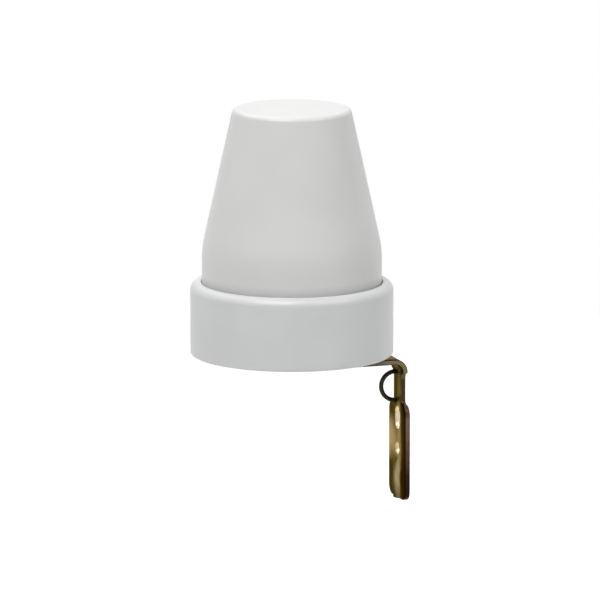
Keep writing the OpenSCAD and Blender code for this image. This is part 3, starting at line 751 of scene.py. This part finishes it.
@dataclass
class Bracket:
    """The pressed strip bracket with its tie loop, screw and nut. Lengths are in millimetres.

    The strip is laid out flat first. Its plan has s along the strip from the tongue's round end and v across
    it, and h is the height over the middle of its thickness. The plan stops short of every edge by edge_round,
    and a quarter circle swept along its border makes the rounded edge. The plan is then carried along the
    strip's path: straight along the tongue, round the bend, and straight down the leg.
    """

    strip: float = 1.8
    tongue_w: float = 12.0
    neck_w: float = 7.2
    bend_r: float = 2.7
    screw_x: float = 15.0
    screw_hole_r: float = 2.25
    countersink_r: float = 3.75
    waist_start: float = 0.4
    neck_fillet: float = 1.2
    plate_top: float = 19.1
    shoulder_r: float = 3.6
    foot_r: float = 3.5
    wire_hole_r: float = 0.8
    wire_depths: tuple[float, float] = (9.0, 18.8)
    wire_offset: float = 2.2
    slot_w: float = 5.4
    slot_l: float = 8.0
    slot_depth: float = 24.4
    hole_r: float = 2.2
    hole_depth: float = 34.95
    rib_w: float = 6.0
    rib_h: float = 1.2
    rib_top: float = 38.15
    rib_spread: float = 0.6
    edge_round: float = 0.25
    hole_margin: float = 1.4
    cell_gap: float = 0.05
    neck_turn: float = 30.0
    across: int = 40
    pitch: float = 0.45
    nearest: float = 0.004
    arc_points: int = 13
    end_points: int = 49
    cell_rings: int = 4
    round_steps: int = 3
    dip_power: int = 6
    station_digits: int = 3
    weld_digits: int = 5
    sheet: PassivatedSheet = PassivatedSheet("yellow_passivated_zinc_sheet", "7E6A3E", 0.34)
    sheared: ShearedEdge = ShearedEdge("sheared_steel_edge", "2A1A0C", 0.42)
    # Bare punched metal on the walls of the slot and holes, painted paler as a painted highlight in place of light
    # seen through them
    punched: PlatedMetal = PlatedMetal("punched_edge_painted_highlight", "ECD8B6", 0.34, worn="D6BE98", patch_mm=2.0)
    wire: PlatedMetal = PlatedMetal("black_oxide_steel_wire", "38322A", 0.4, worn="241F18", patch_mm=2.5)
    fixing: PlatedMetal = PlatedMetal("yellow_passivated_screw", "B79A5E", 0.3, worn="8C7440", patch_mm=2.5)

    def __post_init__(self) -> None:
        """Takes the strip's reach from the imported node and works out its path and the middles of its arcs."""
        self.lo, self.hi = (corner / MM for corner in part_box("bracket"))
        self.mid_r = self.bend_r + self.strip / 2
        self.mid_z = self.hi.z - self.strip / 2
        self.bend_x = self.hi.x - self.strip - self.bend_r
        self.bend_z = self.hi.z - self.strip - self.bend_r
        self.arc_start = self.bend_x - self.lo.x
        self.arc_end = self.arc_start + self.mid_r * math.pi / 2
        self.end = self.down(-self.lo.z)
        waist_r = (self.tongue_w - self.neck_w) / 2
        self.waist = self.arc_end + self.waist_start + waist_r
        self.top = self.down(self.plate_top)
        self.fillet = self.top - self.neck_fillet
        self.shoulder = self.top + self.shoulder_r
        self.foot = self.end - self.foot_r
        self.waist_arc, self.fillet_arc = waist_r + self.edge_round, self.neck_fillet + self.edge_round
        self.shoulder_arc, self.foot_arc = self.shoulder_r - self.edge_round, self.foot_r - self.edge_round
        self.corner = self.waist - math.sqrt(self.waist_arc ** 2 - self.edge_round ** 2)
        turn = np.linspace(0, np.pi / 2, self.arc_points)
        self.stations = np.unique(np.round(np.concatenate([
            np.arange(0, self.end, self.pitch),
            [self.corner],
            self.waist - self.waist_arc * np.cos(turn),
            self.fillet + self.fillet_arc * np.sin(turn),
            self.shoulder - self.shoulder_arc * np.cos(turn),
            self.foot + self.foot_arc * np.sin(turn),
        ]), self.station_digits))

    def down(self, depth: float) -> float:
        """Gives s for a depth below the base's underside, on the leg."""
        return self.arc_end + self.bend_z + depth

    def half_width(self, s: np.ndarray) -> np.ndarray:
        """Gives the plan's half width at each s.

        The tongue ends in a half circle. Below the bend, from the corner on, two quarter circles narrow it to the
        neck, a fillet and a shoulder arc widen it to the plate, and the plate's foot is rounded.

        Args:
            s: places along the strip.

        Returns:
            The half width at each place.
        """
        tongue, neck, plate = self.tongue_w / 2, self.neck_w / 2, self.hi.y

        def arc(r: float, centre: float) -> np.ndarray:
            """Height of a circle of radius r over its middle line, at each s."""
            return np.sqrt(np.maximum(r * r - (s - centre) ** 2, 0))

        stretches = (
            (s < tongue, arc(tongue - self.edge_round, tongue)),
            (s < self.corner, np.full_like(s, tongue - self.edge_round)),
            (s < self.waist, tongue - arc(self.waist_arc, self.waist)),
            (s < self.fillet, np.full_like(s, neck - self.edge_round)),
            (s < self.fillet + self.fillet_arc, neck + self.neck_fillet - arc(self.fillet_arc, self.fillet)),
            (s < self.shoulder, plate - self.shoulder_r + arc(self.shoulder_arc, self.shoulder)),
            (s < self.foot, np.full_like(s, plate - self.edge_round)),
        )
        foot = plate - self.foot_r + arc(self.foot_arc, self.foot)
        return np.select(*zip(*stretches), foot)

    def run(self, start: float, end: float) -> np.ndarray:
        """Gives the stations between two places, closer together where an arc turns across the strip."""
        inner = self.stations[(self.stations > start + self.nearest) & (self.stations < end - self.nearest)]
        return np.concatenate([[start], inner, [end]])

    def row(self, s: float, dip: float = 0.0, way: int = 1) -> np.ndarray:
        """Gives the points across the strip from edge to edge, with the middle dip further along than s."""
        share = np.linspace(-way, way, self.across + 1)
        return np.stack([s + dip * (1 - share ** self.dip_power), share * self.half_width(np.array([s]))], axis=1)

    def side(self, s: np.ndarray, hand: int) -> np.ndarray:
        """Gives the points along one edge of the plan."""
        return np.stack([s, hand * self.half_width(s)], axis=1)

    def band(self, start: float, end: float, dip: float = 0.0) -> tuple[np.ndarray, np.ndarray]:
        """Makes a plain stretch of the plan: a grid of even shares of the width at each station.

        Args:
            start: the stretch's first s.
            end: its last s, at the edges.
            dip: how much further along its last row runs in the middle; the rows before take on a share of it.

        Returns:
            The plan's points and the grid's faces.
        """
        stations = self.run(start, end)
        rows = [self.row(s, dip * (s - start) / (end - start)) for s in stations]
        return np.concatenate(rows), grid_faces(len(stations), self.across + 1)

    def cell(
        self, first: np.ndarray, ends: tuple[float, float], middle: tuple[float, float], radius: float,
        dip: float = 0.0, straight: float = 0.0,
    ) -> tuple[np.ndarray, np.ndarray]:
        """Makes a stretch of the plan with a hole: rings that pass from the hole's outline to the stretch's.

        A point of the hole lies in the same direction from the middle as the point of the outline it is joined
        to. A slot's outline is the distance to its straight side or to its round end, whichever the ray meets.

        Args:
            first: the points across the strip that the stretch starts with.
            ends: its first and last s, at the edges.
            middle: the hole's middle in the plan.
            radius: the hole's radius, or half the slot's width.
            dip: how much further along its last row runs in the middle.
            straight: half the distance between the middles of a slot's round ends.

        Returns:
            The plan's points and the grid's faces.
        """
        s = self.run(*ends)
        sides = first, self.side(s, 1), self.row(ends[1], dip, -1), self.side(s[::-1], -1)
        ray = np.concatenate([points[:-1] for points in sides]) - middle
        reach = np.hypot(ray[:, 0], ray[:, 1])
        along, aside = np.abs(ray.T) / reach
        wide = radius + self.edge_round
        to_side = wide / np.maximum(aside, TINY)
        to_end = straight * along + np.sqrt(np.maximum(wide ** 2 - (straight * aside) ** 2, 0))
        hole = np.where(to_side * along <= straight, to_side, to_end)
        length = hole + np.linspace(0, 1, self.cell_rings)[:, None] * (reach - hole)
        plan = np.array(middle) + length[..., None] * (ray / reach[:, None])
        return plan.reshape(-1, 2), grid_faces(*length.shape, closed=True)

    def plan(self, screw_r: float) -> tuple[np.ndarray, np.ndarray]:
        """Lays out the whole strip flat, with the screw's hole of the given radius.

        The rows that bound a wire hole's cell dip in the middle, so that every point of the cell's outline can
        be seen from the hole.

        Args:
            screw_r: the radius of the hole in the tongue, which differs between the two faces.

        Returns:
            The plan's points and faces; points on the border of two stretches appear in both.
        """
        round_r = self.tongue_w / 2
        turn = np.linspace(-np.pi / 2, -3 * np.pi / 2, self.end_points)[:, None]
        round_end = (round_r - self.edge_round) * np.hstack([np.cos(turn), np.sin(turn)]) + (round_r, 0)
        screw = self.screw_x - self.lo.x
        screw_end = screw + round_r
        first, second = (self.down(d) for d in self.wire_depths)
        slot, hole = self.down(self.slot_depth), self.down(self.hole_depth)
        slot_top, slot_end = slot - self.slot_l / 2, slot + self.slot_l / 2 + self.hole_margin
        hole_start, hole_end = hole - self.hole_r - self.hole_margin, hole + self.hole_r + self.hole_margin / 2
        neck = self.waist - self.waist_arc * math.cos(math.radians(self.neck_turn))
        neck_dip = first - self.wire_hole_r - self.edge_round - self.cell_gap - neck
        top_dip = (second + self.wire_hole_r + slot_top) / 2 - self.top
        second_start = second - self.hole_margin
        wire = self.wire_offset
        patches = [
            self.cell(round_end, (round_r, screw_end), (screw, 0.0), screw_r),
            self.band(screw_end, self.arc_start),
            self.band(self.arc_start, neck, neck_dip),
            self.cell(self.row(neck, neck_dip), (neck, self.waist), (first, wire), self.wire_hole_r),
            self.band(self.waist, second_start),
            self.cell(self.row(second_start), (second_start, self.top), (second, wire), self.wire_hole_r, top_dip),
            self.cell(
                self.row(self.top, top_dip), (self.top, slot_end), (slot, 0.0), self.slot_w / 2,
                straight=(self.slot_l - self.slot_w) / 2,
            ),
            self.band(slot_end, hole_start),
            self.cell(self.row(hole_start), (hole_start, hole_end), (hole, 0.0), self.hole_r),
            self.band(hole_end, self.end - self.edge_round),
        ]
        sizes = np.cumsum([0] + [len(points) for points, _ in patches])
        points = np.concatenate([points for points, _ in patches])
        faces = np.concatenate([cells + start for (_, cells), start in zip(patches, sizes)])
        return points, faces

    def pressed(self, plan: np.ndarray, width: float) -> np.ndarray:
        """Gives how far the rib is pressed out at each point of the plan.

        The rib's height falls off with the distance d from its middle line as (1 - (d / half width)^2)^2, which
        leaves the sheet without a crease. The middle line runs out at the strip's lower end.

        Args:
            plan: points of the plan.
            width: the rib's width on this face.

        Returns:
            The height at each point.
        """
        short_of_line = np.maximum(self.down(self.rib_top) + self.rib_w / 2 - plan[:, 0], 0)
        share = np.hypot(short_of_line, plan[:, 1]) / (width / 2)
        return self.rib_h * np.maximum(1 - share ** 2, 0) ** 2

    def carried(self, plan: np.ndarray, h: np.ndarray) -> np.ndarray:
        """Carries points of the plan along the strip's path.

        On the tongue s runs along X and h up. Round the bend s is an angle about the bend's axis and h adds to
        the radius. On the leg s runs down and h along X.

        Args:
            plan: points of the plan.
            h: the height of each over the middle of the strip.

        Returns:
            Places in metres in the frame.
        """
        s, v = plan.T
        angle, radius = (s - self.arc_start) / self.mid_r, self.mid_r + h
        tongue = self.lo.x + s, self.mid_z + h
        bend = self.bend_x + radius * np.sin(angle), self.bend_z + radius * np.cos(angle)
        leg = self.bend_x + radius, self.bend_z - (s - self.arc_end)
        where = [s <= self.arc_start, s <= self.arc_end]
        x, z = (np.select(where, [a, b], c) for a, b, c in zip(tongue, bend, leg))
        return np.stack([x, v, z], axis=1) * MM

    def rounded(
        self, plan: np.ndarray, h: np.ndarray, border: np.ndarray, hand: int
    ) -> tuple[np.ndarray, np.ndarray]:
        """Sweeps the quarter circle of the rounded edge along the border of one face.

        Each border point moves out along the mitre of its two border edges by r sin a, and into the strip's
        thickness by r (1 - cos a), for a few angles a.

        Args:
            plan: the face's points of the plan.
            h: their heights.
            border: the border edges, each with the face on its left.
            hand: 1 for the face above the middle of the strip, -1 for the one below.

        Returns:
            The plan and the heights of the swept points, ring by ring.
        """
        a, b = border.T
        way = plan[b] - plan[a]
        normal = np.stack([way[:, 1], -way[:, 0]], axis=1) / np.hypot(*way.T)[:, None]
        leaving, coming = np.zeros_like(plan), np.zeros_like(plan)
        leaving[a], coming[b] = normal, normal
        mitre = (leaving + coming) / (1 + (leaving * coming).sum(axis=1, keepdims=True))
        rim = np.unique(border)
        turn = np.linspace(0, np.pi / 2, self.round_steps + 1)[1:, None]
        rings = plan[rim] + self.edge_round * np.sin(turn)[..., None] * mitre[rim]
        heights = h[rim] - hand * self.edge_round * (1 - np.cos(turn))
        return rings.reshape(-1, 2), heights.ravel()

    def pressing(self) -> bpy.types.Object:
        """Builds the bracket: two faces of the plan, with rounded edges and a wall along every border.

        Returns:
            The piece, with the plan as its UV and each point's distance from the strip's edge.
        """
        upper, faces = self.plan(self.screw_hole_r)
        lower, _ = self.plan(self.countersink_r)
        welded = np.round(upper, self.weld_digits)
        _, first, number = np.unique(welded, axis=0, return_index=True, return_inverse=True)
        upper, lower, faces = upper[first], lower[first], number.ravel()[faces]
        corners = upper[faces]
        cross, over = corners[:, 2] - corners[:, 0], corners[:, 3] - corners[:, 1]
        turned = cross[:, 0] * over[:, 1] < cross[:, 1] * over[:, 0]
        faces[turned] = faces[turned][:, ::-1]
        edges = np.stack([faces, np.roll(faces, -1, axis=1)], axis=-1).reshape(-1, 2)
        _, back, times = np.unique(np.sort(edges, axis=1), axis=0, return_inverse=True, return_counts=True)
        border = edges[times[back.ravel()] == 1]
        upper_h = self.strip / 2 - self.pressed(upper, self.rib_w - self.rib_spread)
        lower_h = -self.strip / 2 - self.pressed(lower, self.rib_w + self.rib_spread)
        upper_rings, upper_ring_h = self.rounded(upper, upper_h, border, 1)
        lower_rings, lower_ring_h = self.rounded(lower, lower_h, border, -1)
        flat = np.concatenate([upper, lower, upper_rings, lower_rings])
        points = self.carried(flat, np.concatenate([upper_h, lower_h, upper_ring_h, lower_ring_h]))

        count, rim, steps = len(upper), np.unique(border), self.round_steps
        rings = 2 * count + np.arange(2 * steps * len(rim)).reshape(2 * steps, -1)
        layers = np.concatenate([[rim], rings[:steps], rings[:steps - 1:-1], [rim + count]])
        a, b = np.searchsorted(rim, border).T
        strips = np.stack([layers[:-1, b], layers[:-1, a], layers[1:, a], layers[1:, b]], axis=-1)
        margin = self.half_width(upper[:, 0]) - np.abs(upper[:, 1])
        from_edge = np.minimum(margin + self.edge_round, self.end - upper[:, 0])
        outside = (from_edge[border] < 2 * self.edge_round).all(axis=1)
        kinds = np.zeros(strips.shape[:2])
        finishes = self.sheet, self.sheared, self.punched
        kinds[steps] = np.where(outside, finishes.index(self.sheared), finishes.index(self.punched))
        piece = new_piece(
            "bracket_pressing",
            points,
            np.concatenate([faces, faces[:, ::-1] + count, strips.reshape(-1, 4)]),
            finishes,
            np.concatenate([np.zeros(2 * len(faces)), kinds.ravel()]),
        )
        mesh = piece.data
        corner = np.zeros(len(mesh.loops), np.int32)
        mesh.loops.foreach_get("vertex_index", corner)
        mesh.uv_layers.new(name="strip").data.foreach_set("uv", (flat[corner] * MM).ravel().astype(np.float32))
        at_rim = np.tile(from_edge[rim] - self.edge_round, 2 * steps)
        reach = np.concatenate([np.tile(from_edge, 2), at_rim]) * MM
        mesh.attributes.new("from_edge", "FLOAT", "POINT").data.foreach_set("value", reach.astype(np.float32))
        piece.modifiers.new("flat_faces", "WEIGHTED_NORMAL")
        return piece

    def build(self) -> None:
        """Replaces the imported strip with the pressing, and dresses the wire, screw and nut."""
        piece = self.pressing()
        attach(piece, "root")
        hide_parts("bracket")
        LOG.info("built %s with %d faces", piece.name, len(piece.data.polygons))
        dress("tie_loop", self.wire)
        dress("bracket_screw", self.fixing)
        dress("bracket_nut", self.fixing)


@dataclass
class Circuit:
    """The board and what stands on it. Lengths are in millimetres."""

    board_top: float = 11.6
    cell_face: float = 2.02
    cell_clear: float = 0.02

    def build(self) -> None:
        """Dresses the board, its screws and every component."""
        dress("circuit_board", PaperLaminate("phenolic_paper_laminate", "A9763F", 0.5))
        dress("board_screws", CLEAR_ZINC)
        dress("cell_sleeves", MouldedPlastic("varnished_glass_sleeving", "E6DCB4", 0.5, shade="D8CB9C", grain_mm=0.3))
        self.standing()
        self.lying()

    def standing(self) -> None:
        """Dresses the parts that stand on the board, whose rings are counted upwards.

        A row has the node, its finish's name, colour and roughness, the heights where its body starts and ends,
        each ring's start and colour, and the coat. The light cell is pale ceramic, with the sensitive track in
        the grooves of its face.
        """
        board, face = self.board_top, top("light_cell")
        rows = (
            ("relay", "black_polyester_moulded_case", "1F2A44", 0.36, board, top("relay"),
             ((0.05, "141A2A"), (0.09, "24345A")), 0.0),
            ("dropper_capacitor", "polyester_box_resin_filled", "A9391F", 0.4, board, top("dropper_capacitor"),
             ((0.04, "B5432A"),), 0.0),
            ("smoothing_capacitor", "shrunk_vinyl_sleeve", "15191F", 0.3, board, top("smoothing_capacitor"),
             ((0.05, "1B2740"), (0.965, "B9BCC0")), 0.3),
            ("light_cell", "sintered_ceramic_cell", "E9DFC9", 0.38, face - self.cell_face, face + self.cell_clear,
             ((0.9, "B4492A"), (0.95, "D6C7A0")), 0.6),
            ("transistors", "black_epoxy_moulded_body", "1A1A1B", 0.48, board + 2.0, board + 6.7,
             ((0.5, "1F1F20"),), 0.0),
            ("varistor", "blue_epoxy_dipped_disc", "2F5F8F", 0.3, board + 0.9, board + 8.2,
             ((0.12, "34689B"),), 0.5),
        )
        for node, name, color, roughness, start, end, rings, coat in rows:
            dress(node, LeadedPart(
                name, color, roughness, start_mm=start, end_mm=end, floor_mm=board, rings=rings, coat=coat,
            ))

    def lying(self) -> None:
        """Dresses the parts that lie along Y, whose painted bands are counted along their body's length.

        A row has the node, its finish's name, colour and roughness, the body's length, the coat, and each band's
        start, end and colour. Between the bands the body shows.
        """
        rows = (
            ("rectifier_diodes", "black_epoxy_moulded", "191919", 0.45, 5.2, 0.0, ((0.14, 0.28, "C8C8C6"),)),
            ("zener_diode", "red_glass_fused", "A2441E", 0.12, 4.2, 1.0, ((0.16, 0.32, "16120F"),)),
            ("divider_resistors", "beige_epoxy_dipped", "D9BE8A", 0.34, 6.4, 0.4, (
                (0.1, 0.19, "7A4A22"), (0.32, 0.41, "1B1B1B"), (0.54, 0.63, "C98A1C"), (0.82, 0.91, "B08D3C"),
            )),
            ("series_resistor", "blue_grey_cement_dipped", "8FA6B2", 0.5, 10.5, 0.0, (
                (0.1, 0.18, "8A1F1A"), (0.3, 0.38, "5B2F7A"), (0.5, 0.58, "5A3A1E"), (0.82, 0.9, "B08D3C"),
            )),
        )
        for node, name, color, roughness, length, coat, bands in rows:
            lo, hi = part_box(node)
            middle = (lo.y + hi.y) / 2 / MM
            rings = tuple(stop for start, end, band in bands for stop in ((start, band), (end, color)))
            dress(node, LeadedPart(
                name, color, roughness, axis=Axis.Y, start_mm=middle - length / 2, end_mm=middle + length / 2,
                floor_mm=self.board_top, rings=rings, coat=coat,
            ))


def main() -> None:
    """Builds the studio, the camera and each sub-assembly in turn."""
    logging.basicConfig(level=logging.INFO, format="%(name)s: %(message)s")
    for part in (Studio(), Viewpoint(), Housing(), Bracket(), Circuit()):
        part.build()


if __name__ == "__main__":
    main()
